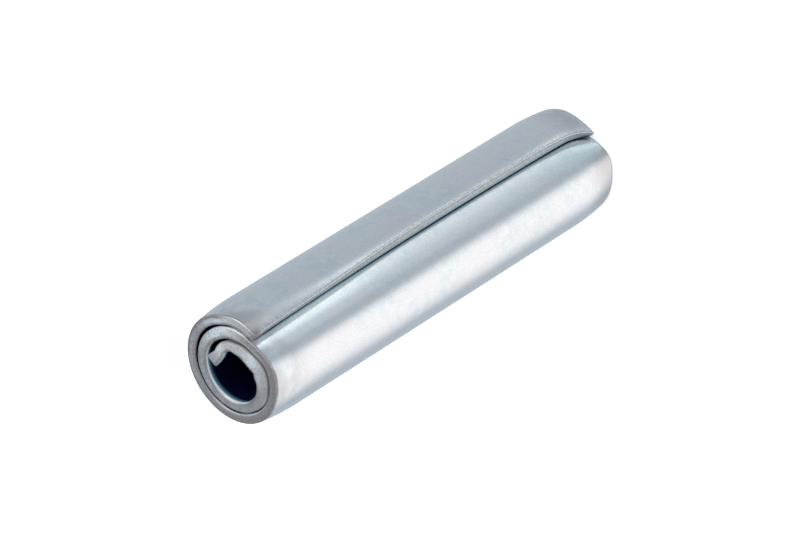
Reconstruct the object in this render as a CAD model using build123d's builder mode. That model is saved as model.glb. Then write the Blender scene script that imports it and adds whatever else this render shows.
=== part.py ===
from build123d import *
import os
from math import acos, atan2, degrees

# Coiled spring pin: one strip of spring steel, rolled about two and a quarter turns into a pin
# that stands on one end, with its axis on +Z and its origin on that axis at the bottom end.
# Lengths are in millimetres. Angles are in degrees from +X, growing as the strip winds inward.

os.makedirs("parts", exist_ok=True)

# The pin and its strip
pin_length = 45.0
free_diameter = 10.5
strip_thickness = 1.0

# The swaged ends, which lead the pin into its hole
lead_length = 4.0
lead_depth = 0.3

# The edges, broken by shearing and tumbling
end_bevel = 0.2
long_edge_round = 0.12

# The outer end of the strip, which makes the seam: its line bows back from the top end
seam_overlap_angle = 10.0
seam_bow_middle = 0.6
seam_bow_bottom = 0.3

# The dip that takes the strip in under its own outer end: a bend, and a flank that is nearly straight
dip_start_angle = 2.0
dip_bend_radius = 2.4
flank_radius = 22.0

# The second turn, slightly off the pin's axis
open_gap = 0.20
open_gap_angle = 170.0
second_turn_offset = 0.075
second_turn_end_angle = 348.0

# The third turn, which follows the dip inside it and then hugs the second turn for a short way
third_turn_gap = 0.06
inner_bend_radius = 2.4
third_turn_sweep = 6.0

# The hook that ends the strip, with its tip kicked outward
hook_span_angle = 73.0
hook_gap = 0.46
kick_bend_radius = 0.3
kick_angle = 20.0
tip_gap = 0.06

# Sizes that follow from those above
outer_radius = free_diameter / 2
second_radius = outer_radius - strip_thickness - open_gap + second_turn_offset
second_centre = Vector(-second_turn_offset, 0).rotate(Axis.Z, open_gap_angle)
bore_radius = second_radius - strip_thickness
third_radius = bore_radius - third_turn_gap
inner_flank_radius = flank_radius - strip_thickness - third_turn_gap


def on_circle(centre, radius, angle):
    """The point of a circle in the XY plane that lies at an angle from +X."""
    return centre + Vector(radius, 0).rotate(Axis.Z, angle)


def direction_of(vector):
    """The angle of a vector in the XY plane from +X."""
    return degrees(atan2(vector.Y, vector.X))


def step_in(turn_centre, turn_radius, leave_angle, bend_radius, side_radius, inner_centre, inner_radius):
    """The angles at which a step from one turn to the next inward ends its bend and its flank.

    The bend leaves the turn at leave_angle, and the flank touches the bend and the inner turn. Their
    three centres make a triangle whose sides are known, and its corner gives the landing's angle.
    """
    bend_centre = on_circle(turn_centre, turn_radius - bend_radius, leave_angle)
    apart = bend_centre - inner_centre
    to_bend = side_radius - bend_radius
    to_inner = side_radius - inner_radius
    corner = acos((to_inner**2 + apart.length**2 - to_bend**2) / (2 * to_inner * apart.length))
    landing_angle = direction_of(apart) + 180 - degrees(corner)
    side_centre = on_circle(inner_centre, -to_inner, landing_angle)
    return direction_of(bend_centre - side_centre), landing_angle


dip_end_angle, landing_angle = step_in(
    Vector(), outer_radius, dip_start_angle, dip_bend_radius, flank_radius, second_centre, second_radius
)
inner_bend_end_angle, inner_landing_angle = step_in(
    second_centre,
    second_radius,
    second_turn_end_angle,
    inner_bend_radius,
    inner_flank_radius,
    second_centre,
    third_radius,
)
seam_angle = landing_angle - seam_overlap_angle
inner_bend_sweep = inner_bend_end_angle - second_turn_end_angle + 360
hook_angle = inner_landing_angle + third_turn_sweep + hook_span_angle
hook_point = on_circle(second_centre, bore_radius - hook_gap, hook_angle)

# The line that the strip's outer face follows, from the seam inward
with BuildLine() as coil:
    first_turn = CenterArc((0, 0), outer_radius, seam_angle, 360 + dip_start_angle - seam_angle)
    dip_bend = JernArc(first_turn @ 1, first_turn % 1, dip_bend_radius, dip_end_angle - dip_start_angle)
    flank = JernArc(dip_bend @ 1, dip_bend % 1, flank_radius, landing_angle - dip_end_angle)
    second_turn = CenterArc(
        second_centre, second_radius, landing_angle, second_turn_end_angle - landing_angle
    )
    inner_bend = JernArc(second_turn @ 1, second_turn % 1, inner_bend_radius, inner_bend_sweep)
    inner_flank = JernArc(
        inner_bend @ 1, inner_bend % 1, inner_flank_radius, inner_landing_angle - inner_bend_end_angle
    )
    third_turn = CenterArc(second_centre, third_radius, inner_landing_angle, third_turn_sweep)
    hook = TangentArc(third_turn @ 1, hook_point, tangent=third_turn % 1)
    kick = JernArc(hook @ 1, hook % 1, kick_bend_radius, -kick_angle)
    tip_rest = CenterArc(second_centre, bore_radius - tip_gap, 0, 360, mode=Mode.PRIVATE)
    inner_end = IntersectingLine(kick @ 1, kick % 1, tip_rest)


def strip_section(stretch):
    """The strip cut across at the start of a stretch: a long bar that leans in at both ends.

    The sketch's x points out of the strip's outer face, and its y points up.
    """
    along = stretch % 0
    across = Plane(origin=stretch @ 0, x_dir=along.cross(Vector(0, 0, 1)), z_dir=-along)
    with BuildSketch(across) as section:
        with BuildLine():
            outer_wall = Line((0, lead_length), (0, pin_length - lead_length))
            inner_wall = Line(
                (-strip_thickness, pin_length - lead_length), (-strip_thickness, lead_length)
            )
            top_face = Line((-lead_depth, pin_length), (-lead_depth - strip_thickness, pin_length))
            bottom_face = Line((-lead_depth - strip_thickness, 0), (-lead_depth, 0))
            TangentArc(outer_wall @ 1, top_face @ 0, tangent=(0, 1))
            TangentArc(inner_wall @ 0, top_face @ 1, tangent=(0, 1))
            TangentArc(inner_wall @ 1, bottom_face @ 0, tangent=(0, -1))
            TangentArc(outer_wall @ 0, bottom_face @ 1, tangent=(0, -1))
        make_face()
        corners = section.vertices().group_by(Axis.Y)
        chamfer(corners[0] + corners[-1], length=end_bevel)
    return section.sketch


def long_edges(cut_face):
    """The edges of the strip's cut end that run along the pin, and not those at its bevels."""
    return cut_face.edges().filter_by(lambda edge: abs((edge @ 1 - edge @ 0).Z) > 1.5 * end_bevel)


def wind(stretch):
    """Carry the strip's section along one stretch of the coil, bent round its centre or straight."""
    if stretch.geom_type == GeomType.LINE:
        extrude(strip_section(stretch), amount=stretch.length, dir=stretch % 0)
    else:
        spoke = stretch @ 0 - stretch.arc_center
        centre_line = Axis(stretch.arc_center, spoke.cross(stretch % 0))
        turned = degrees(stretch.length / stretch.radius)
        revolve(strip_section(stretch).faces(), axis=centre_line, revolution_arc=turned)


# The first turn. Its outer end is cut to the seam's bow, and its long edges are rounded.
seam_plane = Plane(
    origin=first_turn @ 0,
    x_dir=first_turn % 0,
    z_dir=(first_turn % 0).cross(Vector(0, 0, 1)),
)
seam_middle = seam_plane.from_local_coords((seam_bow_middle, pin_length / 2, -strip_thickness / 2))
with BuildPart() as outer_turn:
    wind(first_turn)
    with BuildSketch(seam_plane):
        with BuildLine():
            seam_line = ThreePointArc(
                (0, pin_length), (seam_bow_middle, pin_length / 2), (seam_bow_bottom, 0)
            )
            Polyline(
                seam_line @ 1, (-strip_thickness, 0), (-strip_thickness, pin_length), seam_line @ 0
            )
        make_face()
    extrude(amount=2 * strip_thickness, both=True, mode=Mode.SUBTRACT)
    seam_face = outer_turn.faces().sort_by_distance(seam_middle)[0]
    fillet(long_edges(seam_face), radius=long_edge_round)

# The inner end of the strip, with the long edges of its tip rounded
with BuildPart() as inner_tip:
    wind(inner_end)
    tip_face = inner_tip.faces().sort_by(Axis(inner_end @ 0, inner_end % 0))[-1]
    fillet(long_edges(tip_face), radius=long_edge_round)

# The whole strip, stretch by stretch from the seam inward
with BuildPart() as coiled_pin:
    add(outer_turn)
    for stretch in (
        dip_bend, flank, second_turn, inner_bend, inner_flank, third_turn, hook, kick
    ):
        wind(stretch)
    add(inner_tip)

coiled_pin.part.label = "coiled_pin"
export_step(coiled_pin.part, "parts/coiled_pin.step")
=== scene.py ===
"""A zinc-plated coiled spring pin, rolled from one steel strip, in a plain bright studio.

The strip is made flat, with rounded edges, a bowed seam edge and swaged ends, and is then rolled
along the coil's line. Lengths are in metres. The pin stands on the origin with its axis on +Z.
"""

import logging
import math
from collections.abc import Callable
from dataclasses import dataclass, field
from enum import Enum
from functools import cached_property

import bpy
from mathutils import Matrix, Vector

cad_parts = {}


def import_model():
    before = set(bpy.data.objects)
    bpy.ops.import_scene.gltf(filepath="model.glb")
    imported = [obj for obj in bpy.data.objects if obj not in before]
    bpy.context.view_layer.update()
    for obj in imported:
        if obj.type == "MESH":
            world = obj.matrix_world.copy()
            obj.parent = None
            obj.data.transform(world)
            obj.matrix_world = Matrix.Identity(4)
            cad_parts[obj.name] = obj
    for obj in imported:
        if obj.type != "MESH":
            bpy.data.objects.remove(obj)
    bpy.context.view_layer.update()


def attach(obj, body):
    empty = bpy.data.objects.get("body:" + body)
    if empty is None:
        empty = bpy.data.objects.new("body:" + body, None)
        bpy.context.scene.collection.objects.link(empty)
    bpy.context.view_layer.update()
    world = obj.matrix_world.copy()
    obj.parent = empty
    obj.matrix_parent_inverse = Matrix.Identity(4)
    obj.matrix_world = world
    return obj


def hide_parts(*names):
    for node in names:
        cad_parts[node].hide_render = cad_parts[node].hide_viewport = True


LOG = logging.getLogger("coiled_pin")
MM = 0.001
PLACE_NAME = "strip_place"

Colour = tuple[float, float, float, float]
Triple = tuple[float, float, float]
Limits = tuple[float, ...]
Socket = bpy.types.NodeSocket
Piece = bpy.types.Object


class PinEnd(Enum):
    """The two ends of the pin."""

    TOP = "top"
    BOTTOM = "bottom"


def polar(radius: float, angle: float) -> Vector:
    """The point of the XY plane at a radius and an angle from +X in radians."""
    return Vector((radius * math.cos(angle), radius * math.sin(angle)))


def bearing(vector: Vector) -> float:
    """The angle of a plane vector from +X, in radians."""
    return math.atan2(vector.y, vector.x)


def ease(value: float, low: float, high: float) -> float:
    """0 below low, 1 above high, and smooth between."""
    share = min(1.0, max(0.0, (value - low) / (high - low)))
    return share * share * (3 - 2 * share)


def dwindle(distance: float, reach: float) -> float:
    """1 at no distance, and smoothly less until it is 0 at the reach."""
    return max(0.0, 1 - distance / reach) ** 2


@dataclass(frozen=True)
class Swell:
    """An amount that rises and falls again smoothly along the strip.

    The four places are distances from the strip's outer end, in millimetres.
    """

    amount: float
    rise_start: float
    rise_end: float
    fall_start: float
    fall_end: float

    def at(self, distance: float) -> float:
        """The amount at a distance along the strip."""
        place = distance / MM
        risen = ease(place, self.rise_start, self.rise_end)
        return self.amount * risen * (1 - ease(place, self.fall_start, self.fall_end))


@dataclass(frozen=True)
class Stretch:
    """One stretch of the coil's line: an arc, or a straight run when it has no radius.

    A positive radius turns left, a negative one right. length is the stretch's own length.
    """

    start: Vector
    heading: float
    radius: float
    length: float

    def at(self, distance: float) -> Vector:
        """The point at a distance along the stretch."""
        if not self.radius:
            return self.start + polar(distance, self.heading)
        centre = self.start + polar(self.radius, self.heading + math.pi / 2)
        turned = distance / self.radius
        return centre + polar(self.radius, self.heading - math.pi / 2 + turned)

    def heading_at(self, distance: float) -> float:
        """The direction of travel at a distance along the stretch, in radians."""
        return self.heading + (distance / self.radius if self.radius else 0.0)

    def carry_on(self, radius: float, sweep: float) -> "Stretch":
        """The arc that goes on from this stretch's end, with a radius and a sweep in radians."""
        start = self.at(self.length)
        return Stretch(start, self.heading_at(self.length), radius, sweep * abs(radius))

    def carry_on_to(self, end: Vector) -> "Stretch":
        """The arc that goes on smoothly from this stretch's end to a point."""
        start = self.at(self.length)
        heading = self.heading_at(self.length)
        chord = end - start
        half_turn = (bearing(chord) - heading + math.pi) % math.tau - math.pi
        radius = chord.length / (2 * math.sin(half_turn))
        return Stretch(start, heading, radius, 2 * half_turn * radius)


@dataclass(frozen=True)
class StripSizes:
    """The sizes of the strip and of its coil.

    They are those of the solid model, but for the seam's bow, which is less by a part of the slant
    that HandWork gives the seam's cut.
    """

    pin_length: float = 45.0 * MM
    outer_radius: float = 5.25 * MM
    thickness: float = 1.0 * MM

    lead_length: float = 4.0 * MM
    lead_depth: float = 0.3 * MM

    seam_overlap: float = math.radians(10.0)
    seam_bow_middle: float = 0.5 * MM
    seam_bow_bottom: float = 0.3 * MM

    dip_start: float = math.radians(2.0)
    dip_bend_radius: float = 2.4 * MM
    flank_radius: float = 22.0 * MM

    open_gap: float = 0.20 * MM
    open_gap_angle: float = math.radians(170.0)
    second_turn_offset: float = 0.075 * MM
    second_turn_end: float = math.radians(348.0)

    third_turn_gap: float = 0.06 * MM
    inner_bend_radius: float = 2.4 * MM
    third_turn_sweep: float = math.radians(6.0)
    hook_span: float = math.radians(73.0)
    hook_gap: float = 0.46 * MM
    kick_bend_radius: float = 0.3 * MM
    kick_angle: float = math.radians(20.0)
    tip_gap: float = 0.06 * MM

    @property
    def second_radius(self) -> float:
        """The radius of the second turn's outer face."""
        return self.outer_radius - self.thickness - self.open_gap + self.second_turn_offset

    @property
    def second_centre(self) -> Vector:
        """The centre of the second turn, slightly off the pin's axis."""
        return polar(-self.second_turn_offset, self.open_gap_angle)

    @staticmethod
    def turn(centre: Vector, radius: float, start: float, sweep: float) -> Stretch:
        """A turn round a centre, from an angle and through a sweep, both in radians."""
        return Stretch(centre + polar(radius, start), start + math.pi / 2, radius, sweep * radius)

    @staticmethod
    def step_in(
        bend_centre: Vector,
        bend_radius: float,
        side_radius: float,
        inner_centre: Vector,
        inner_radius: float,
    ) -> tuple[float, float]:
        """The angles at which a step from one turn to the next inward ends its bend and its flank.

        The bend leaves the outer of the two turns, and the flank, of the side radius, touches the
        bend and the inner turn.
        """
        apart = bend_centre - inner_centre
        to_bend = side_radius - bend_radius
        to_inner = side_radius - inner_radius
        corner = math.acos(
            (to_inner**2 + apart.length_squared - to_bend**2) / (2 * to_inner * apart.length)
        )
        landing = bearing(apart) + math.pi - corner
        side_centre = inner_centre - polar(to_inner, landing)
        return bearing(bend_centre - side_centre), landing

    def coil(self) -> list[Stretch]:
        """The stretches of the line that the strip's outer face follows, from the seam inward."""
        centre = self.second_centre
        inner_radius = self.second_radius - self.thickness
        third_radius = inner_radius - self.third_turn_gap
        inner_flank_radius = self.flank_radius - self.thickness - self.third_turn_gap
        dip_end, landing = self.step_in(
            polar(self.outer_radius - self.dip_bend_radius, self.dip_start),
            self.dip_bend_radius,
            self.flank_radius,
            centre,
            self.second_radius,
        )
        bend_end, inner_landing = self.step_in(
            centre + polar(self.second_radius - self.inner_bend_radius, self.second_turn_end),
            self.inner_bend_radius,
            inner_flank_radius,
            centre,
            third_radius,
        )
        seam = landing - self.seam_overlap
        hook_angle = inner_landing + self.third_turn_sweep + self.hook_span

        first = self.turn(
            Vector((0.0, 0.0)), self.outer_radius, seam, math.tau + self.dip_start - seam
        )
        dip = first.carry_on(self.dip_bend_radius, dip_end - self.dip_start)
        flank = dip.carry_on(self.flank_radius, landing - dip_end)
        second = self.turn(centre, self.second_radius, landing, self.second_turn_end - landing)
        inner_bend = second.carry_on(
            self.inner_bend_radius, bend_end - self.second_turn_end + math.tau
        )
        inner_flank = inner_bend.carry_on(inner_flank_radius, inner_landing - bend_end)
        third = self.turn(centre, third_radius, inner_landing, self.third_turn_sweep)
        hook = third.carry_on_to(centre + polar(inner_radius - self.hook_gap, hook_angle))
        kick = hook.carry_on(-self.kick_bend_radius, self.kick_angle)
        tip_start = kick.at(kick.length)
        tip_heading = kick.heading_at(kick.length)
        from_centre = tip_start - centre
        along = from_centre.dot(polar(1.0, tip_heading))
        reach = inner_radius - self.tip_gap
        tip_length = -along + math.sqrt(along**2 - from_centre.length_squared + reach**2)
        tip = Stretch(tip_start, tip_heading, 0.0, tip_length)
        return [first, dip, flank, second, inner_bend, inner_flank, third, hook, kick, tip]


@dataclass(frozen=True)
class HandWork:
    """What rolling and swaging did to this one strip, beyond the sizes of the solid model.

    Distances along the strip are from its outer end.
    """

    # Rounded edges
    outer_end_round: float = 0.14 * MM
    inner_end_round: float = 0.38 * MM
    long_edge_round: float = 0.14 * MM
    tip_edge_round: float = 0.06 * MM

    # How much less the strip leans in at the pin's ends, as a share of the full lean, and the
    # most that any place leans
    top_lean_losses: tuple[Swell, ...] = (
        Swell(0.75, -2.0, -1.0, 2.0, 4.5),
        Swell(0.75, 29.1, 32.1, 34.9, 38.4),
        Swell(0.20, 39.5, 42.5, 52.0, 54.5),
        Swell(0.75, 54.4, 56.9, 58.3, 59.6),
        Swell(-0.30, 59.0, 60.0, 63.0, 64.5),
    )
    bottom_lean_losses: tuple[Swell, ...] = (
        Swell(-0.75, -2.0, -1.0, 1.0, 4.0),
        Swell(0.80, 27.5, 30.6, 31.2, 33.6),
        Swell(-0.15, 31.9, 33.4, 34.0, 37.0),
        Swell(0.60, 54.6, 56.0, 56.4, 57.2),
        Swell(-0.25, 57.0, 58.0, 60.5, 62.0),
    )
    most_lean: float = 1.8

    # How much thicker the strip is at the pin's top end, and no less than the thickest place
    top_swells: tuple[Swell, ...] = (
        Swell(-0.10 * MM, 9.0, 12.0, 25.0, 28.0),
        Swell(0.27 * MM, 33.0, 34.9, 35.8, 40.0),
        Swell(0.59 * MM, 50.3, 55.7, 57.0, 61.7),
        Swell(0.12 * MM, 53.7, 54.6, 56.8, 59.5),
        Swell(0.09 * MM, 52.5, 55.8, 57.0, 60.5),
        Swell(-0.16 * MM, 42.0, 45.0, 49.0, 51.5),
        Swell(0.20 * MM, 62.6, 64.0, 70.0, 71.0),
    )
    most_swell: float = 0.95 * MM

    # How much thinner the lip beside the seam is, on its inner side
    lip_relief: float = 0.03 * MM
    bottom_lip_thinning: float = 0.52 * MM
    bottom_lip_height: float = 2.4 * MM
    lip_reach: Limits = (0.8 * MM, 3.0 * MM)

    # The slant of the seam's cut: its outer edge lies behind, and ahead towards the top end
    slant_behind: float = 0.27 * MM
    slant_ahead: float = 0.08 * MM
    slant_turn: Limits = (24.0 * MM, 38.0 * MM)
    slant_loss: Limits = (1.5 * MM, 7.0 * MM)

    # How far the lip's corners flare forward
    top_flare: float = 0.03 * MM
    top_flare_height: float = 2.0 * MM
    bottom_flare: float = 0.85 * MM
    bottom_flare_height: float = 3.2 * MM

    # How far from the seam its bow, slant and flares are felt, and the most that they can move it
    bow_reach: float = 6.0 * MM
    most_shift: float = 1.0 * MM

    def lean_share(self, end: PinEnd, distance: float) -> float:
        """How far the strip leans in at an end of the pin, as a share of the full lean."""
        losses = self.top_lean_losses if end is PinEnd.TOP else self.bottom_lean_losses
        return 1 - sum(loss.at(distance) for loss in losses)


class Nodes:
    """Short ways to add and join the nodes of one shader tree.

    A value handed to a method is a link or a number, and a colour is a link or its numbers.
    """

    def __init__(self, tree: bpy.types.NodeTree) -> None:
        """Keep the tree that the nodes go into."""
        self.tree = tree

    def feed(self, target: Socket, value: object) -> None:
        """Give an input a link or a plain value."""
        if isinstance(value, Socket):
            self.tree.links.new(value, target)
        else:
            target.default_value = value

    def add(self, kind: str, *values: object, **settings: object) -> bpy.types.Node:
        """Add a node of a kind, with its settings and the values of its first inputs."""
        node = self.tree.nodes.new(kind)
        for name, value in settings.items():
            setattr(node, name, value)
        for target, value in zip(node.inputs, values):
            self.feed(target, value)
        return node

    def math(self, operation: str, *values: object) -> Socket:
        """The result of a maths operation, carried on from the first value to the last."""
        result = values[0]
        for value in values[1:]:
            result = self.add("ShaderNodeMath", result, value, operation=operation).outputs[0]
        return result

    def plus(self, *values: object) -> Socket:
        """The sum of the values."""
        return self.math("ADD", *values)

    def minus(self, first: object, second: object) -> Socket:
        """The first value less the second."""
        return self.math("SUBTRACT", first, second)

    def times(self, *values: object) -> Socket:
        """The product of the values."""
        return self.math("MULTIPLY", *values)

    def most(self, *values: object) -> Socket:
        """The largest of the values."""
        return self.math("MAXIMUM", *values)

    def vector_math(self, operation: str, *values: object) -> bpy.types.Node:
        """A vector maths node on the values."""
        return self.add("ShaderNodeVectorMath", *values, operation=operation)

    def noise(self, place: Socket, scale: float, detail: float) -> Socket:
        """Soft noise of a scale, read at a place."""
        node = self.add("ShaderNodeTexNoise", place)
        node.inputs["Scale"].default_value = scale
        node.inputs["Detail"].default_value = detail
        return node.outputs["Fac"]

    def split(self, vector: Socket) -> tuple[Socket, ...]:
        """The three parts of a vector."""
        return tuple(self.add("ShaderNodeSeparateXYZ", vector).outputs)

    def level(self, vector: Socket) -> Socket:
        """A vector with its height taken away."""
        return self.add("ShaderNodeCombineXYZ", *self.split(vector)[:2]).outputs[0]

    def within(self, value: object, empty: float, full: float, *back: float) -> Socket:
        """How far a value is within its limits, from 0 to 1, with smooth borders.

        It is 0 at empty and beyond, and 1 at full, which may lie above or below. Where a second
        border is given, back is where it is 1 and then 0 again.
        """
        if back:
            return self.times(self.within(value, empty, full), self.within(value, back[1], back[0]))
        if empty > full:
            return self.minus(1.0, self.within(value, full, empty))
        node = self.add("ShaderNodeMapRange", value, empty, full, interpolation_type="SMOOTHSTEP")
        return node.outputs["Result"]

    def mix(self, factor: object, first: object, second: object) -> Socket:
        """Two colours mixed by a factor."""
        node = self.add("ShaderNodeMix", factor, data_type="RGBA")
        self.feed(node.inputs[6], first)
        self.feed(node.inputs[7], second)
        return node.outputs[2]

    def blend(self, share: Socket, base: object, extra: Triple) -> Socket:
        """A colour with a share of another one added to it."""
        spread = self.add("ShaderNodeCombineXYZ", share, share, share).outputs[0]
        return self.vector_math("MULTIPLY_ADD", spread, extra, base).outputs["Vector"]

    def bump(
        self, height: Socket, strength: object, distance: float, normal: Socket | None = None
    ) -> Socket:
        """A bumped normal from a height, over another normal if one is given."""
        node = self.add("ShaderNodeBump", strength, distance)
        self.feed(node.inputs["Height"], height)
        if normal is not None:
            self.feed(node.inputs["Normal"], normal)
        return node.outputs["Normal"]


@dataclass(frozen=True)
class Mask:
    """A part of the strip with soft borders, given by limits to what is measured at a point.

    Two limits are where the mask is 0 and where it is 1. Four are where it is 0, 1, 1 and 0 again.

    Attributes:
        along: the distance from the strip's outer end, in millimetres like the others.
        shaded_along: the same, but longer under the lip's shade at the bottom end.
        depth: the distance from the strip's outer face.
        ragged_depth: the same, unsteady by the ragged amount.
        height: the distance from the pin's bottom end.
        from_top: the distance from its top end.
        from_end: the distance from the nearer end.
        blotches: the level of the plate's blotches, a noise from 0 to 1 like the next ones.
        speckle: the level of the end faces' speckle, and ragged_speckle with some blotches in it.
        grain: the level of the finest noise.
        share: the mask's value where it is full.
    """

    along: Limits = ()
    shaded_along: Limits = ()
    depth: Limits = ()
    ragged_depth: Limits = ()
    height: Limits = ()
    from_top: Limits = ()
    from_end: Limits = ()
    blotches: Limits = ()
    large_blotches: Limits = ()
    ragged: Limits = ()
    speckle: Limits = ()
    ragged_speckle: Limits = ()
    grain: Limits = ()
    share: float = 1.0

    def limits(self) -> dict[str, Limits]:
        """The limits that are set, by the name of what they limit."""
        return {name: value for name, value in vars(self).items() if value and name != "share"}


@dataclass(frozen=True)
class BrightZinc:
    """Satin zinc plate on steel, worn darker along the edges, with painted shade deep inside the
    coil.
    """

    name: str = "bright_zinc"
    blotch_size: float = 0.8 * MM
    large_blotch_size: float = 3.2 * MM
    speckle_size: float = 0.8 * MM / 4.5
    grain_size: float = 0.12 * MM
    raggedness: float = 0.25
    speckle_raggedness: float = 1.2

    # The plate, a painted highlight on the flank under the seam's lip near the top, and a cooler
    # tint there near the bottom
    plate: Colour = (0.745, 0.755, 0.775, 1.0)
    cool_blotch: Colour = (0.65, 0.70, 0.745, 1.0)
    cool_blotches: Mask = Mask(blotches=(0.40, 0.62), share=0.7)
    warm_blotch: Colour = (0.765, 0.745, 0.775, 1.0)
    warm_blotches: Mask = Mask(large_blotches=(0.42, 0.60), share=0.8)
    # Painted highlight: the flank under the seam's lip is lighter towards the top end
    fresh_plate: Colour = (0.96, 0.98, 0.99, 1.0)
    sheltered: Mask = Mask(along=(31.4, 32.1, 33.0, 33.5), height=(24.0, 38.0))
    cool_plate: Colour = (0.60, 0.77, 0.81, 1.0)
    cool: Mask = Mask(along=(30.6, 31.4, 33.0, 33.5), height=(9.0, 2.0))
    cool_share: float = 0.35

    # Wear
    worn_edge: Colour = (0.28, 0.245, 0.245, 1.0)
    lip: Mask = Mask(along=(2.4, 0.3))
    lip_share: float = 0.10
    lip_top: Mask = Mask(height=(32.0, 43.0), share=0.14)
    outer_band: Mask = Mask(ragged_depth=(0.36, 0.16))
    wide_band: Mask = Mask(ragged_depth=(1.00, 0.30), along=(11.0, 19.0))
    banded: Mask = Mask(along=(3.0, 5.0, 33.0, 35.0))
    inner_band: Mask = Mask(ragged_depth=(0.56, 0.74), from_end=(0.24, 0.08))
    seam_line: Mask = Mask(depth=(0.05, 0.12, 0.17, 0.27), along=(0.13, 0.05))
    rim: Mask = Mask(from_end=(0.04, 0.09, 0.12, 0.26), share=0.8)
    worn_grains: Mask = Mask(grain=(0.20, 0.60))
    wear_share: float = 0.85
    specks: Mask = Mask(along=(0.75, 0.12), depth=(0.3, 0.1), grain=(0.49, 0.60), share=0.45)
    swaged: Mask = Mask(from_end=(4.5, 0.3), large_blotches=(0.38, 0.60), share=0.40)
    rubbed: Mask = Mask(
        along=(28.2, 29.2, 30.1, 30.9), height=(3.2, 1.0), grain=(0.2, 0.5), share=0.40
    )
    cool_unworn: Limits = (0.5, 0.0)
    worn_all_over: Mask = Mask(grain=(0.30, 0.70), share=0.16)
    seam_corner: Mask = Mask(along=(0.75, 0.2), from_top=(0.9, 0.3), share=0.8)
    worn_rim: Colour = (0.33, 0.29, 0.29, 1.0)
    touching: Mask = Mask(along=(25.0, 28.0, 33.0, 34.0))
    inmost_touching: Mask = Mask(along=(53.0, 55.0))
    top_rim: Mask = Mask(from_top=(0.0, 0.04, 0.14, 0.30), depth=(0.4, 0.2))
    worn_rim_patches: Mask = Mask(ragged=(-0.06, 0.02))

    # The sheared end faces, with a painted pool of light near one place
    inner_half: Mask = Mask(depth=(0.4, 0.6), share=0.12)
    end_face: Limits = (0.10, 0.01)
    end_light: Colour = (0.88, 0.895, 0.90, 1.0)
    end_dark: Colour = (0.27, 0.285, 0.295, 1.0)
    light_place: Triple = (0.8 * MM, 2.4 * MM, 0.0)
    light_reach: Limits = (5.6 * MM, 0.84 * MM)
    light_range: tuple[float, float] = (0.16, 0.95)
    # How much the painted light is lowered or raised on some of the turns' end faces
    shadier: Mask = Mask(along=(30.0, 10.0), share=0.01)
    brighter: Mask = Mask(along=(46.0, 49.0, 56.0, 58.0), share=0.08)
    hook: Mask = Mask(along=(60.0, 62.0), share=0.10)
    patches: Mask = Mask(blotches=(0.38, 0.62))
    fine_patches: Mask = Mask(speckle=(0.40, 0.60))
    patch_strength: float = 0.32
    end_stain: Colour = (0.145, 0.120, 0.120, 1.0)
    stains: Mask = Mask(blotches=(0.50, 0.60), speckle=(0.42, 0.60), share=0.5)
    band_stains: Mask = Mask(ragged_speckle=(0.42, 0.58), share=0.7)

    # The seam's cut face
    at_cut: Mask = Mask(along=(0.10, 0.02))
    cut_face: Colour = (0.40, 0.47, 0.495, 1.0)
    cut_marks: Colour = (0.56, 0.61, 0.63, 1.0)
    cut_mark_size: float = 0.2
    cut_mark_stretch: Triple = (1.0, 0.5, 1.0)
    cut_mark_levels: Limits = (0.35, 0.65)
    cut_shade: Mask = Mask(depth=(0.45, 1.0), share=0.5)

    # The bore, with a duller near-white zinc at its mouth and painted shade deeper in; painted
    # shade in the gaps between the turns and on the sides of the gaps that are tight
    bore_zinc: Colour = (0.95, 0.97, 0.98, 1.0)
    thin_zinc: Colour = (0.12, 0.28, 0.37, 1.0)
    bare_steel: Colour = (0.001, 0.002, 0.024, 1.0)
    mouth: Mask = Mask(depth=(0.80, 0.97), along=(33.5, 34.5), from_end=(0.08, 0.20))
    thin: Mask = Mask(from_end=(0.16, 0.42))
    bare: Mask = Mask(from_end=(0.34, 0.78))
    # Painted shade in the gaps between the turns and under the seam's lip: dark teal in the body,
    # near black towards the ends, less where the turns lie tight
    dark_gap: Colour = (0.060, 0.160, 0.210, 1.0)
    gap_wall: Mask = Mask(depth=(0.80, 0.97), along=(34.5, 33.5))
    lip_shade: Mask = Mask(height=(2.5, 0.2), share=0.95)
    covered: Mask = Mask(shaded_along=(33.0, 33.6), depth=(0.5, 0.05))
    gap_reach: Mask = Mask(from_top=(0.08, 0.35))
    gap_body: Mask = Mask(height=(4.0, 9.0, 40.0, 43.0))
    gap_share: float = 0.95
    tight_loss: float = 0.55
    tight: tuple[Mask, ...] = (
        Mask(along=(3.0, 1.8)),
        Mask(along=(19.0, 22.0, 29.0, 31.0)),
        Mask(along=(33.2, 33.5, 34.8, 35.8)),
        Mask(along=(48.0, 50.5, 60.3, 61.3)),
    )
    tight_reach: Mask = Mask(from_top=(3.0, 1.0))
    # Painted shade on both sides of the tight gaps just inside the end faces: grey, and brown in
    # places
    tight_gap: Colour = (0.52, 0.55, 0.57, 1.0)
    outer_groove: Mask = Mask(depth=(0.26, 0.08), along=(33.0, 33.4))
    inner_groove: Mask = Mask(depth=(0.62, 0.82), along=(36.2, 35.8))
    groove_reach: Mask = Mask(from_end=(0.03, 0.12, 0.5, 0.9))
    brown_gap: Colour = (0.22, 0.205, 0.205, 1.0)
    brown_groove: Mask = Mask(depth=(0.5, 0.6), along=(33.0, 33.2, 40.0, 42.0))
    inmost_groove: Mask = Mask(along=(52.0, 54.0))

    # Shine and relief
    hidden_shine: float = 0.12
    roughness: float = 0.21
    roughness_range: float = 0.10
    worn_roughness: float = 0.38
    dull_lip: Mask = Mask(along=(2.4, 0.3), height=(33.0, 43.0), share=0.22)
    grain_bump: float = 0.006 * MM
    grain_strength: float = 0.35
    end_strength_gain: float = 0.65
    blotch_bump: float = 0.004 * MM
    blotch_strength: float = 0.35

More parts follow.
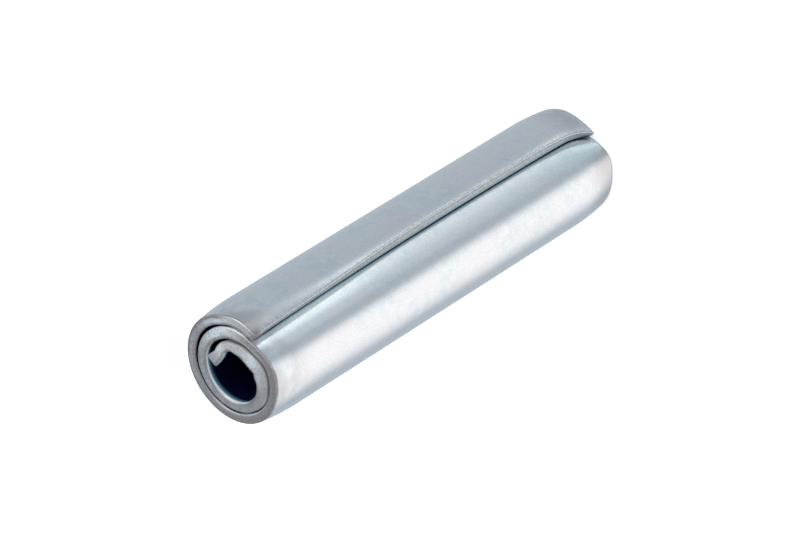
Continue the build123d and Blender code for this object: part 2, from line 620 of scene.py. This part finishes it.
    def material(self, sizes: StripSizes) -> bpy.types.Material:
        """The finish on a strip of these sizes, as a material."""
        material = bpy.data.materials.new(self.name)
        material.use_nodes = True
        ZincTree(material.node_tree, self, sizes).fill()
        return material


class ZincTree(Nodes):
    """The shader tree of the zinc plate.

    Its properties are masks that are made of others and that several parts of the tree share.
    """

    def __init__(self, tree: bpy.types.NodeTree, finish: BrightZinc, sizes: StripSizes) -> None:
        """Measure where a shaded point is on the flat strip, and the noises there."""
        super().__init__(tree)
        self.finish = finish
        self.position = self.add("ShaderNodeTexCoord").outputs["Object"]
        self.strip = self.add("ShaderNodeAttribute", attribute_name=PLACE_NAME).outputs["Vector"]
        along, across, height = self.split(self.strip)
        depth = self.times(across, -1.0)
        from_top = self.minus(sizes.pin_length / MM, height)
        blotches = self.noise(self.position, 1 / finish.blotch_size, detail=3.0)
        speckle = self.noise(self.position, 1 / finish.speckle_size, detail=4.0)
        ragged = self.times(self.minus(blotches, 0.5), finish.raggedness)
        self.measured = {
            "along": along,
            "depth": depth,
            "ragged_depth": self.plus(depth, ragged),
            "height": height,
            "from_top": from_top,
            "from_end": self.math("MINIMUM", height, from_top),
            "blotches": blotches,
            "large_blotches": self.noise(self.position, 1 / finish.large_blotch_size, detail=2.0),
            "ragged": ragged,
            "speckle": speckle,
            "ragged_speckle": self.plus(speckle, self.times(ragged, finish.speckle_raggedness)),
            "grain": self.noise(self.position, 1 / finish.grain_size, detail=4.0),
        }
        self.made: dict[Mask, Socket] = {}
        self.measured["shaded_along"] = self.plus(along, self.mask(finish.lip_shade))

    def mask(self, *masks: Mask) -> Socket:
        """The value of a mask at the shaded point, or the largest of several."""
        for mask in masks:
            if mask not in self.made:
                limits = mask.limits().items()
                parts = [self.within(self.measured[name], *numbers) for name, numbers in limits]
                self.made[mask] = self.times(*parts, mask.share)
        return self.most(*(self.made[mask] for mask in masks))

    def fill(self) -> None:
        """Join the colour, the metal, the roughness and the relief to the shader."""
        inputs = self.tree.nodes["Principled BSDF"].inputs
        inputs["Metallic"].default_value = 1.0
        inputs["Base Color"].default_value = self.finish.plate
        self.feed(inputs["Base Color"], self.tint())
        hidden = self.most(self.mask(self.finish.mouth), self.groove, self.dull_rim)
        loss = self.times(hidden, 1 - self.finish.hidden_shine)
        self.feed(inputs["Metallic"], self.minus(1.0, loss))
        self.feed(inputs["Roughness"], self.rough())
        self.feed(inputs["Normal"], self.relief())

    @cached_property
    def end_face(self) -> Socket:
        """The end faces, which take in more of the rounded edge on the strip's inner half."""
        reach = self.minus(self.measured["from_end"], self.mask(self.finish.inner_half))
        return self.within(reach, *self.finish.end_face)

    @cached_property
    def cut_face(self) -> Socket:
        """The cut face at the strip's outer end, but for its corners on the end faces."""
        return self.times(self.mask(self.finish.at_cut), self.within(self.end_face, 1.0, 0.0))

    @cached_property
    def tight(self) -> Socket:
        """Where the turns lie tight together, near the top end."""
        return self.times(self.mask(*self.finish.tight), self.mask(self.finish.tight_reach))

    @cached_property
    def groove(self) -> Socket:
        """The two sides of a tight gap, just inside the end faces, where shade is painted."""
        sides = self.mask(self.finish.outer_groove, self.finish.inner_groove)
        return self.times(sides, self.tight, self.mask(self.finish.groove_reach))

    @cached_property
    def outer_band(self) -> Socket:
        """The ragged band along the outer turn's rim, wider on its lower half."""
        band = self.mask(self.finish.outer_band, self.finish.wide_band)
        return self.times(band, self.mask(self.finish.banded))

    @cached_property
    def wear(self) -> Socket:
        """The brown wear on the end faces' bands, on the rims and on the seam's edge."""
        finish = self.finish
        bands = self.most(self.outer_band, self.mask(finish.inner_band))
        edges = self.mask(finish.seam_line, finish.rim)
        worn = self.most(self.times(self.end_face, bands), edges)
        return self.times(worn, self.mask(finish.worn_grains))

    @cached_property
    def dull_rim(self) -> Socket:
        """The rim of the top end where the turns touch, rubbed dull."""
        touching = self.mask(self.finish.touching, self.finish.inmost_touching)
        return self.times(touching, self.mask(self.finish.top_rim))

    def tint(self) -> Socket:
        """The colour, from the plate up: each layer covers those before it where its mask is."""
        finish = self.finish
        lip_share = self.plus(finish.lip_share, self.mask(finish.lip_top))
        unworn = self.within(self.mask(finish.cool), *finish.cool_unworn)
        band_stains = self.times(self.outer_band, self.end_face, self.mask(finish.band_stains))
        # Painted shade on the gaps' walls and under the seam's lip
        walls = self.times(self.mask(finish.gap_wall, finish.covered), self.mask(finish.gap_reach))
        gap_share = self.minus(finish.gap_share, self.times(self.tight, finish.tight_loss))
        gap_tint = self.mix(self.mask(finish.gap_body), finish.bare_steel, finish.dark_gap)
        brown = self.mask(finish.brown_groove, finish.inmost_groove)
        # Painted shade deepening into the bore: the mouth's zinc turns teal, then near black
        thinning = self.mix(self.mask(finish.thin), finish.bore_zinc, finish.thin_zinc)
        mouth_tint = self.mix(self.mask(finish.bare), thinning, finish.bare_steel)
        layers = (
            (self.mask(finish.cool_blotches), finish.cool_blotch),
            (self.mask(finish.warm_blotches), finish.warm_blotch),
            # Painted highlight on the flank under the seam's lip, towards the top end
            (self.mask(finish.sheltered), finish.fresh_plate),
            (self.times(self.mask(finish.cool), finish.cool_share), finish.cool_plate),
            (self.times(self.mask(finish.lip), lip_share), finish.worn_edge),
            (self.cut_face, self.cut_tint()),
            # The end faces, with their painted pool of light
            (self.end_face, self.end_tint()),
            (self.times(self.wear, finish.wear_share), finish.worn_edge),
            (band_stains, finish.end_stain),
            (self.times(self.dull_rim, self.mask(finish.worn_rim_patches)), finish.worn_rim),
            (self.mask(finish.specks), finish.worn_edge),
            (self.times(self.mask(finish.swaged, finish.rubbed), unworn), finish.worn_edge),
            (self.mask(finish.worn_all_over), finish.worn_edge),
            # Painted shade inside the bore, below its lighter mouth
            (self.mask(finish.mouth), mouth_tint),
            (self.mask(finish.seam_corner), finish.worn_edge),
            # Painted shade in the gaps and under the seam's lip
            (self.times(walls, gap_share), gap_tint),
            # Painted shade in the grooves of the tight gaps
            (self.groove, self.mix(brown, finish.tight_gap, finish.brown_gap)),
        )
        tint = finish.plate
        for mask, colour in layers:
            tint = self.mix(mask, tint, colour)
        return tint

    def cut_tint(self) -> Socket:
        """The colour of the seam's cut face, with the shear's marks across it and painted shade
        towards its inner side.
        """
        finish = self.finish
        stretched = self.vector_math("MULTIPLY", self.strip, finish.cut_mark_stretch)
        noise = self.noise(stretched.outputs["Vector"], 1 / finish.cut_mark_size, detail=3.0)
        marks = self.within(noise, *finish.cut_mark_levels)
        face = self.mix(marks, finish.cut_face, finish.cut_marks)
        return self.mix(self.mask(finish.cut_shade), face, finish.thin_zinc)

    def end_tint(self) -> Socket:
        """The colour of the sheared ends: a painted pool of light on one side of the pin, speckled.
        """
        finish = self.finish
        # A painted pool of light round one place on the end faces
        apart = self.vector_math("DISTANCE", self.level(self.position), finish.light_place)
        light = self.within(apart.outputs["Value"], *finish.light_reach)
        light = self.minus(light, self.mask(finish.shadier))
        light = self.plus(light, self.mask(finish.brighter))
        light = self.minus(light, self.mask(finish.hook))
        least, most = finish.light_range
        light = self.math("MINIMUM", self.most(light, least), most)
        patches = self.plus(self.mask(finish.patches), self.mask(finish.fine_patches), -1.0)
        light = self.plus(light, self.times(patches, finish.patch_strength))
        face = self.mix(light, finish.end_dark, finish.end_light)
        return self.mix(self.mask(finish.stains), face, finish.end_stain)

    def rough(self) -> Socket:
        """The roughness: uneven, and more where the metal is cut, worn or hidden."""
        finish = self.finish
        uneven = self.times(self.minus(self.measured["blotches"], 0.5), finish.roughness_range)
        worn = self.most(self.end_face, self.cut_face, self.wear, self.mask(finish.mouth))
        gain = self.times(worn, finish.worn_roughness - finish.roughness)
        return self.plus(uneven, finish.roughness, gain, self.mask(finish.dull_lip))

    def relief(self) -> Socket:
        """The bumped normal: fine grain, stronger on the end faces, over soft waves."""
        finish = self.finish
        gain = self.times(self.end_face, finish.end_strength_gain)
        grit = self.plus(finish.grain_strength, gain)
        fine = self.bump(self.measured["grain"], grit, finish.grain_bump)
        blotches = self.measured["blotches"]
        return self.bump(blotches, finish.blotch_strength, finish.blotch_bump, normal=fine)


@dataclass
class RolledStrip:
    """The pin itself: a flat strip with finished edges, rolled up along its coil.

    The face border says how far through the strip an edge lies to count as one of the inner face,
    and the round margin keeps the cuts clear of the rounded long edges.
    """

    sizes: StripSizes = field(default_factory=StripSizes)
    work: HandWork = field(default_factory=HandWork)
    finish: BrightZinc = field(default_factory=BrightZinc)
    column_angle: float = math.radians(3.0)
    column_length: float = 0.30 * MM
    lip_column_length: float = 0.10 * MM
    lip_length: float = 1.2 * MM
    lead_rows: int = 16
    lead_row_growth: float = 1.5
    body_rows: int = 26
    round_segments: int = 5
    face_border: float = 0.9
    round_margin: float = 1.2
    cut_tolerance: float = 0.001 * MM
    merge_distance: float = 0.0005 * MM
    smooth_angle: float = math.radians(35.0)
    piece_name: str = "rolled_strip"
    node_name: str = "coiled_pin"
    slot_name: str = "zinc_plated_steel"

    def build(self) -> None:
        """Make the pin, which stands for the solid."""
        stretches = self.sizes.coil()
        developed = sum(stretch.length for stretch in stretches)
        strip = self.flat_strip(developed)
        self.round_edges(strip)
        self.cut_columns(strip, stretches)
        self.remember_places(strip)
        self.shape_seam(strip)
        self.shape_ends(strip)
        self.roll(strip, stretches)
        self.smooth(strip)
        strip.data.materials.clear()
        strip.data.materials.append(self.finish.material(self.sizes))
        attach(strip, "root")
        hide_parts(self.node_name)
        faces = len(strip.data.polygons)
        LOG.info("%s: %d faces, strip %.1f mm long", strip.name, faces, developed / MM)

    def flat_strip(self, developed: float) -> Piece:
        """A flat bar of the unrolled strip's length, standing on its long edge.

        Its outer face lies in the plane y = 0, and its length runs along +X from 0.
        """
        sizes = self.sizes
        bpy.ops.object.select_all(action="DESELECT")
        bpy.ops.mesh.primitive_cube_add(
            size=1.0,
            location=(developed / 2, -sizes.thickness / 2, sizes.pin_length / 2),
            scale=(developed, sizes.thickness, sizes.pin_length),
        )
        strip = bpy.context.object
        strip.name = self.piece_name
        strip.data.name = self.piece_name
        bpy.ops.object.transform_apply(location=True, rotation=True, scale=True)
        return strip

    def round_edges(self, strip: Piece) -> None:
        """Round the strip's edges, most at the inner edges of the pin's ends."""
        work = self.work
        mesh = strip.data
        weights = mesh.attributes.new("bevel_weight_edge", "FLOAT", "EDGE")
        for edge in mesh.edges:
            first, second = (mesh.vertices[number].co for number in edge.vertices)
            middle = (first + second) / 2
            if abs(first.z - second.z) > work.inner_end_round:
                at_seam = middle.x < work.long_edge_round
                radius = work.long_edge_round if at_seam else work.tip_edge_round
            elif middle.y < -self.face_border * self.sizes.thickness:
                radius = work.inner_end_round
            else:
                radius = work.outer_end_round
            weights.data[edge.index].value = radius / work.inner_end_round
        modifier = strip.modifiers.new("rounds", "BEVEL")
        modifier.limit_method = "WEIGHT"
        modifier.width = work.inner_end_round
        modifier.segments = self.round_segments
        modifier.miter_outer = "MITER_SHARP"
        bpy.ops.object.modifier_apply(modifier=modifier.name)

    def column_places(self, stretches: list[Stretch]) -> list[float]:
        """The distances along the strip at which it is cut across."""
        places: list[float] = []
        distance = 0.0
        for stretch in stretches:
            step = self.column_length
            if stretch.radius:
                step = min(step, self.column_angle * abs(stretch.radius))
            count = max(1, math.ceil(stretch.length / step))
            places += [distance + stretch.length * number / count for number in range(count)]
            distance += stretch.length
        margin = self.round_margin * self.work.long_edge_round
        fine_count = round(self.lip_length / self.lip_column_length)
        fine = [margin + self.lip_length * number / fine_count for number in range(1, fine_count)]
        start = margin + self.lip_length
        return fine + [place for place in places if start < place < distance - margin]

    def row_heights(self) -> list[float]:
        """The heights at which the strip is cut into rows, closest together near the ends."""
        low = self.work.inner_end_round
        lead = self.sizes.lead_length
        length = self.sizes.pin_length
        lower = [
            low + (lead - low) * (number / self.lead_rows) ** self.lead_row_growth
            for number in range(1, self.lead_rows + 1)
        ]
        body = [
            lead + (length - 2 * lead) * number / self.body_rows
            for number in range(1, self.body_rows)
        ]
        return lower + body + [length - height for height in lower]

    def cut_columns(self, strip: Piece, stretches: list[Stretch]) -> None:
        """Cut the strip across wherever its coil needs a joint, and into rows."""
        along = Vector((1.0, 0.0, 0.0))
        up = Vector((0.0, 0.0, 1.0))
        cuts = [(place * along, along) for place in self.column_places(stretches)]
        cuts += [(height * up, up) for height in self.row_heights()]
        bpy.ops.object.mode_set(mode="EDIT")
        for point, normal in cuts:
            bpy.ops.mesh.select_all(action="SELECT")
            bpy.ops.mesh.bisect(plane_co=point, plane_no=normal, threshold=self.cut_tolerance)
        bpy.ops.object.mode_set(mode="OBJECT")

    def remember_places(self, strip: Piece) -> None:
        """Keep each point's place on the flat strip, in millimetres, for the finish."""
        mesh = strip.data
        places = mesh.attributes.new(PLACE_NAME, "FLOAT_VECTOR", "POINT")
        for vertex in mesh.vertices:
            places.data[vertex.index].vector = vertex.co / MM

    def displace(
        self,
        strip: Piece,
        name: str,
        direction: str,
        most: float,
        amount: Callable[[Vector], float],
    ) -> None:
        """Move the strip's points along an axis, each by the amount for its place on the strip.

        most is the largest of these amounts, and negative for the axis's other way.
        """
        places = [Vector(item.vector) * MM for item in strip.data.attributes[PLACE_NAME].data]
        group = strip.vertex_groups.new(name=name)
        for number, place in enumerate(places):
            share = amount(place) / abs(most)
            if share > 0:
                group.add([number], min(1.0, share), "REPLACE")
        modifier = strip.modifiers.new(name, "DISPLACE")
        modifier.direction = direction
        modifier.mid_level = 0.0
        modifier.strength = most
        modifier.vertex_group = name
        bpy.ops.object.modifier_apply(modifier=modifier.name)

    def inner_share(self, place: Vector) -> float:
        """How far through the strip a place is, from 0 on its outer face to 1 on its inner one."""
        return min(1.0, max(0.0, -place.y / self.sizes.thickness))

    def shape_seam(self, strip: Piece) -> None:
        """Bow the seam's edge back along the pin, slant it, and flare it forward at both ends."""
        sizes = self.sizes
        work = self.work
        half = sizes.pin_length / 2

        def slant(place: Vector) -> float:
            turned = ease(place.z, *work.slant_turn)
            behind = work.slant_behind * (1 - turned) * ease(place.z, *work.slant_loss)
            return (behind - work.slant_ahead * turned) * (1 - self.inner_share(place))

        def back(place: Vector) -> float:
            chord = sizes.seam_bow_bottom * (1 - place.z / sizes.pin_length)
            arch = 1 - ((place.z - half) / half) ** 2
            bow = chord + (sizes.seam_bow_middle - sizes.seam_bow_bottom / 2) * arch
            return (bow + max(0.0, slant(place))) * dwindle(place.x, work.bow_reach)

        def forward(place: Vector) -> float:
            top = work.top_flare * dwindle(sizes.pin_length - place.z, work.top_flare_height)
            bottom = work.bottom_flare * dwindle(place.z, work.bottom_flare_height)
            shift = top + bottom + max(0.0, -slant(place))
            return shift * dwindle(place.x, work.bow_reach)

        self.displace(strip, "back", "X", work.most_shift, back)
        self.displace(strip, "forward", "X", -work.most_shift, forward)

    def shape_ends(self, strip: Piece) -> None:
        """Lean both ends of the pin inward, and thicken or thin the strip there."""
        sizes = self.sizes
        work = self.work
        lead_radius = (sizes.lead_length**2 + sizes.lead_depth**2) / (2 * sizes.lead_depth)

        def end_of(place: Vector) -> PinEnd:
            return PinEnd.TOP if place.z > sizes.pin_length / 2 else PinEnd.BOTTOM

        def into_lead(place: Vector) -> float:
            return max(0.0, sizes.lead_length - min(place.z, sizes.pin_length - place.z))

        def lean(place: Vector) -> float:
            drop = lead_radius - math.sqrt(lead_radius**2 - into_lead(place) ** 2)
            return drop * work.lean_share(end_of(place), place.x)

        def swell(place: Vector) -> float:
            if end_of(place) is PinEnd.BOTTOM:
                return 0.0
            at_end = (into_lead(place) / sizes.lead_length) ** 2
            swelling = sum(part.at(place.x) for part in work.top_swells)
            return swelling * at_end * self.inner_share(place)

        def thinning(place: Vector) -> float:
            lip = 1 - ease(place.x, *work.lip_reach)
            at_bottom = work.bottom_lip_thinning * dwindle(place.z, work.bottom_lip_height)
            relief = (work.lip_relief + at_bottom) * lip * self.inner_share(place)
            return relief + max(0.0, -swell(place))

        self.displace(strip, "lean", "Y", -sizes.lead_depth * work.most_lean, lean)
        self.displace(strip, "swell", "Y", -work.most_swell, swell)
        most_thinning = work.lip_relief + work.bottom_lip_thinning
        self.displace(strip, "thinning", "Y", most_thinning, thinning)
        strip.vertex_groups.clear()

    def roll(self, strip: Piece, stretches: list[Stretch]) -> None:
        """Roll the flat strip up: each point goes to its place along the coil's line."""
        ends: list[float] = []
        total = 0.0
        for stretch in stretches:
            total += stretch.length
            ends.append(total)
        for vertex in strip.data.vertices:
            x, y, z = vertex.co
            number = next((i for i, end in enumerate(ends) if x <= end), len(ends) - 1)
            stretch = stretches[number]
            distance = x - (ends[number] - stretch.length)
            outward = polar(1.0, stretch.heading_at(distance) - math.pi / 2)
            point = stretch.at(distance) + outward * y
            vertex.co = (point.x, point.y, z)

    def smooth(self, strip: Piece) -> None:
        """Turn the faces outward and shade them smooth."""
        bpy.ops.object.mode_set(mode="EDIT")
        bpy.ops.mesh.select_all(action="SELECT")
        bpy.ops.mesh.remove_doubles(threshold=self.merge_distance)
        bpy.ops.mesh.normals_make_consistent(inside=False)
        bpy.ops.object.mode_set(mode="OBJECT")
        bpy.ops.object.shade_smooth_by_angle(angle=self.smooth_angle)


@dataclass(frozen=True)
class Panel:
    """A soft light panel, as a window of directions round the pin, in degrees.

    It is full within the inner angle from its azimuth and nothing beyond the outer one. A panel
    without an elevation is an upright strip of the wall, and bottom says where its lower border
    starts and ends, as the height of a direction of length 1.
    """

    azimuth: float
    inner: float
    outer: float
    colour: Triple
    elevation: float | None = None
    bottom: Limits = (-1.2, -1.1)


@dataclass
class Studio:
    """A white floor, a bright tent round the pin, and the camera."""

    camera_place: Vector = field(default_factory=lambda: Vector((0.25865, 0.16113, 0.28644)))
    aim: Vector = field(default_factory=lambda: Vector((-0.000325, -0.000325, 0.0230187)))
    roll: float = math.radians(121.94)
    lens: float = 211.7
    sensor: float = 36.0
    floor_size: float = 6.0
    floor_drop: float = 0.02 * MM
    floor_colour: Colour = (0.85, 0.85, 0.85, 1.0)
    floor_glow: float = 0.52
    background: Colour = (1.0, 1.0, 1.0, 1.0)
    wall_colour: Triple = (0.540, 0.615, 0.665)
    roof_colour: Triple = (0.24, 0.25, 0.26)
    roof_border: Limits = (0.10, 0.55)
    panel_top: Limits = (-0.25, 0.15)
    panels: tuple[Panel, ...] = (
        Panel(azimuth=-28.0, inner=12.0, outer=70.0, colour=(0.76, 0.70, 0.635)),
        Panel(azimuth=80.4, inner=1.0, outer=5.0, colour=(0.62, 0.68, 0.66)),
        Panel(
            azimuth=74.5, inner=1.0, outer=6.5, colour=(0.40, 0.43, 0.41), bottom=(-0.655, -0.62)
        ),
        Panel(azimuth=103.0, inner=10.0, outer=34.0, colour=(1.90, 1.90, 1.90), elevation=38.0),
    )

    def camera(self) -> None:
        """Place the camera where the photograph was taken from."""
        data = bpy.data.cameras.new("photo_camera")
        data.lens = self.lens
        data.sensor_width = self.sensor
        camera = bpy.data.objects.new("photo_camera", data)
        bpy.context.scene.collection.objects.link(camera)
        looking = (self.aim - self.camera_place).to_track_quat("-Z", "Y").to_matrix()
        turned = looking @ Matrix.Rotation(-self.roll, 3, "Z")
        camera.matrix_world = Matrix.Translation(self.camera_place) @ turned.to_4x4()
        bpy.context.scene.camera = camera

    def floor(self) -> None:
        """Lay a large plain floor under the pin, lifted to white for the camera alone."""
        bpy.ops.object.select_all(action="DESELECT")
        place = (0.0, 0.0, -self.floor_drop)
        bpy.ops.mesh.primitive_plane_add(size=self.floor_size, location=place)
        floor = bpy.context.object
        floor.name = "floor"
        material = bpy.data.materials.new("white_floor")
        material.use_nodes = True
        nodes = Nodes(material.node_tree)
        nodes.tree.nodes.remove(nodes.tree.nodes["Principled BSDF"])
        output = nodes.tree.nodes["Material Output"]
        paper = nodes.add("ShaderNodeBsdfDiffuse", self.floor_colour)
        rays = nodes.add("ShaderNodeLightPath")
        strength = nodes.times(rays.outputs["Is Camera Ray"], self.floor_glow)
        glow = nodes.add("ShaderNodeEmission", self.background, strength)
        both = nodes.add("ShaderNodeAddShader", paper.outputs[0], glow.outputs[0])
        nodes.feed(output.inputs["Surface"], both.outputs[0])
        floor.data.materials.append(material)
        floor.visible_glossy = False

    def tent(self) -> None:
        """Light the pin from a bright tent with a few soft panels, on a white background."""
        world = bpy.data.worlds.new("tent")
        bpy.context.scene.world = world
        world.use_nodes = True
        nodes = Nodes(world.node_tree)
        background = nodes.tree.nodes["Background"]
        direction = nodes.add("ShaderNodeTexCoord").outputs["Generated"]
        z = nodes.split(direction)[2]
        level_direction = nodes.vector_math("NORMALIZE", nodes.level(direction)).outputs["Vector"]
        roof = nodes.within(z, *self.roof_border)
        light = nodes.blend(roof, self.wall_colour, self.roof_colour)
        for panel in self.panels:
            towards = polar(1.0, math.radians(panel.azimuth)).to_3d()
            seen = level_direction
            if panel.elevation is not None:
                towards *= math.cos(math.radians(panel.elevation))
                towards.z = math.sin(math.radians(panel.elevation))
                seen = direction
            facing = nodes.vector_math("DOT_PRODUCT", seen, towards)
            outer = math.cos(math.radians(panel.outer))
            inner = math.cos(math.radians(panel.inner))
            window = nodes.within(facing.outputs["Value"], outer, inner)
            if panel.elevation is None:
                window = nodes.times(window, nodes.within(z, *panel.bottom, *self.panel_top))
            light = nodes.blend(window, light, panel.colour)
        rays = nodes.add("ShaderNodeLightPath")
        brightness = nodes.mix(rays.outputs["Is Camera Ray"], light, self.background)
        nodes.feed(background.inputs["Color"], brightness)
        world.cycles.sampling_method = "NONE"


def main() -> None:
    """Build the pin and its studio in order, and report each piece."""
    logging.basicConfig(level=logging.INFO, format="%(name)s: %(message)s")
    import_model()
    scene = bpy.context.scene
    scene.view_settings.view_transform = "Standard"
    studio = Studio()
    studio.camera()
    studio.floor()
    studio.tent()
    RolledStrip().build()


if __name__ == "__main__":
    main()
